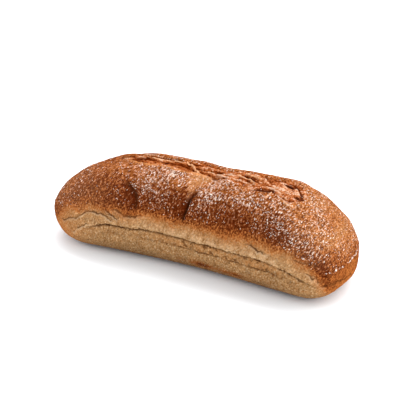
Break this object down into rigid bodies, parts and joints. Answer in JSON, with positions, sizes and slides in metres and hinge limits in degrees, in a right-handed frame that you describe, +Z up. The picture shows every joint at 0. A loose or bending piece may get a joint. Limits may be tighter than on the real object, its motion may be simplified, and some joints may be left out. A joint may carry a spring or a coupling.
{
  "type": "sub roll",
  "caption": "Long wholemeal bread roll with blunt rounded ends, a torn crown, folded brown shoulders, pale creased flanks and a flat base.",
  "frame": {"origin": "middle of the flat base, on the surface that the roll rests on", "axes": "+X along the roll towards its blunter end, -Y towards the front flank that the picture shows, +Z up"},
  "size_m": [0.2098, 0.0716, 0.0615],
  "materials": {
    "crust": "matt baked wholemeal crust, brown above and pale below, dusted with flour"
  },
  "bodies": {
    "root": {"sub_roll": "crust"}
  },
  "joints": []
}
